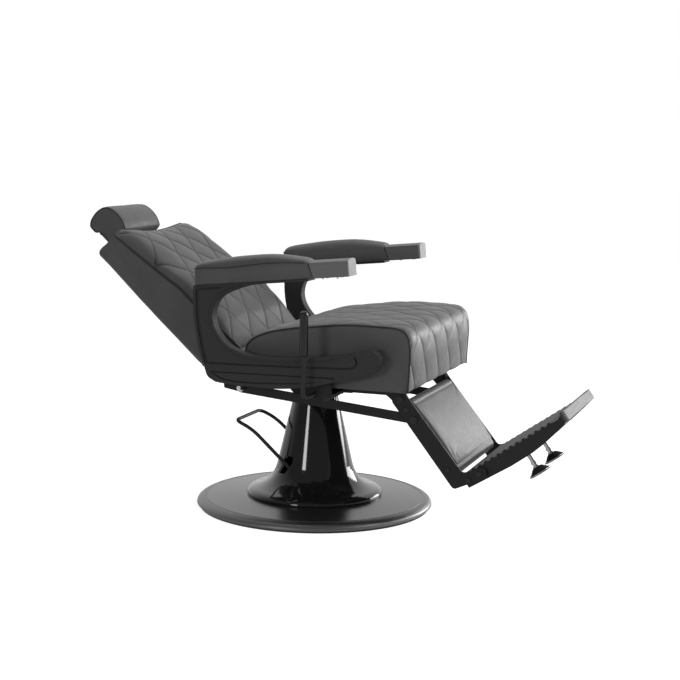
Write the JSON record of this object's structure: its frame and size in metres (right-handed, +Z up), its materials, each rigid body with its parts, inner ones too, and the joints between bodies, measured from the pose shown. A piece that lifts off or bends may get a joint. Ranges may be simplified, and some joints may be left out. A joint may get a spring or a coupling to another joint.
{
  "type": "barber chair",
  "caption": "Reclining hydraulic barber chair with a quilted seat and back, C-shaped arm frames, a linked leg rest and a round floor base.",
  "frame": {"origin": "centre of the round floor base, on the floor, on the swivel axis", "axes": "+Z up, -Y the way that the sitter faces, -X the sitter's right"},
  "size_m": [0.727, 1.4094, 0.8228],
  "materials": {
    "matte_black": "matte black powder coat",
    "satin_black": "satin black paint on the arm castings, pump and gas spring",
    "gloss_black": "deep gloss black pump housing",
    "rim_dark": "dark brushed ring",
    "grey_metal": "satin grey",
    "foot_alloy": "black coated casting",
    "steel": "bright machined",
    "chrome": "polished",
    "leather": "charcoal black, fine grain, diamond stitched",
    "ply": "plain plywood",
    "rubber": "black",
    "grip": "black"
  },
  "bodies": {
    "base": {"base_plate": "matte_black", "base_rim": "rim_dark", "pump_housing": "gloss_black", "pump_cylinder": "satin_black", "cylinder_gland": "steel", "pump_block": "satin_black", "pedal_pins": "steel"},
    "pedal": {"foot_pedal": "satin_black"},
    "lift": {"ram": "chrome", "swivel_bearing": "steel"},
    "seat": {"swivel_head": "matte_black", "seat_frame": "matte_black", "seat_board": "ply", "seat_cushion": "leather", "arm_brackets": "matte_black", "arm_frame_right": "satin_black", "arm_frame_left": "satin_black", "arm_bolts": "steel", "arm_pad_right": "leather", "arm_pad_left": "leather", "arm_cap_right": "grey_metal", "arm_cap_left": "grey_metal", "cap_screws": "satin_black", "hinge_pins": "satin_black", "gas_pin": "steel"},
    "lever": {"lever_rod": "satin_black", "lever_grip": "grip", "lever_cam": "steel"},
    "backrest": {"back_shell": "leather", "back_cushion": "leather", "back_brackets": "matte_black", "bracket_bolts": "steel", "crank_shaft": "steel", "headrest_guide": "satin_black"},
    "headrest_slider": {"headrest_bar": "grey_metal"},
    "headrest": {"headrest_hinge": "satin_black", "headrest_pad": "leather"},
    "gas_cylinder": {"gas_tube": "satin_black"},
    "gas_piston": {"gas_rod": "chrome"},
    "leg_rest": {"leg_arm_right": "matte_black", "leg_arm_left": "matte_black", "link_pins": "satin_black", "calf_board": "matte_black", "calf_pad": "leather", "calf_screws": "satin_black", "foot_plate": "foot_alloy", "toe_trim": "grey_metal", "foot_bolts": "satin_black", "foot_rods": "chrome", "foot_cups": "rubber"},
    "links": {"link_bar_right": "matte_black", "link_bar_left": "matte_black"}
  },
  "joints": [
    {"name": "lift_slide", "type": "slide", "parent": "base", "child": "lift", "axis": [0, 0, 1], "range_m": [0, 0.16]},
    {"name": "seat_swivel", "type": "hinge", "parent": "lift", "child": "seat", "pos_m": [0, 0, 0.34], "axis": [0, 0, 1], "continuous": true},
    {"name": "pedal_hinge", "type": "hinge", "parent": "base", "child": "pedal", "pos_m": [0, 0.022, 0.099], "axis": [1, 0, 0], "range_deg": [-14, 0], "stiffness_Nm_per_rad": 12, "springref_deg": 11.46},
    {"name": "recline", "type": "hinge", "parent": "seat", "child": "backrest", "pos_m": [0, 0.186, 0.401], "axis": [1, 0, 0], "range_deg": [0, 33]},
    {"name": "leg_lift", "type": "hinge", "parent": "seat", "child": "leg_rest", "pos_m": [0, -0.307, 0.353], "axis": [1, 0, 0], "range_deg": [0, 33]},
    {"name": "link_turn", "type": "hinge", "parent": "backrest", "child": "links", "pos_m": [0, 0.147, 0.35], "axis": [1, 0, 0], "range_deg": [-33, 0]},
    {"name": "gas_tilt", "type": "hinge", "parent": "seat", "child": "gas_cylinder", "pos_m": [0.122, -0.15, 0.332], "axis": [1, 0, 0], "range_deg": [-3.2, 0.2]},
    {"name": "gas_slide", "type": "slide", "parent": "gas_cylinder", "child": "gas_piston", "axis": [0, 0.9982, 0.0605], "range_m": [0, 0.036]},
    {"name": "headrest_slide", "type": "slide", "parent": "backrest", "child": "headrest_slider", "axis": [0, 0.7314, 0.682], "range_m": [0, 0.1]},
    {"name": "headrest_tilt", "type": "hinge", "parent": "headrest_slider", "child": "headrest", "pos_m": [0, 0.65149, 0.74347], "axis": [1, 0, 0], "range_deg": [-25, 3]},
    {"name": "lever_turn", "type": "hinge", "parent": "seat", "child": "lever", "pos_m": [-0.2, -0.103, 0.368], "axis": [1, 0, 0], "range_deg": [-22, 0], "stiffness_Nm_per_rad": 3, "springref_deg": 14.32}
  ],
  "couplings": [
    {"joint": "leg_lift", "follows": "recline", "ratio": 1},
    {"joint": "link_turn", "follows": "recline", "ratio": -1},
    {"joint": "gas_tilt", "follows": "recline", "ratio": -0.0893},
    {"joint": "gas_slide", "follows": "recline", "m_per_rad": 0.0592}
  ]
}
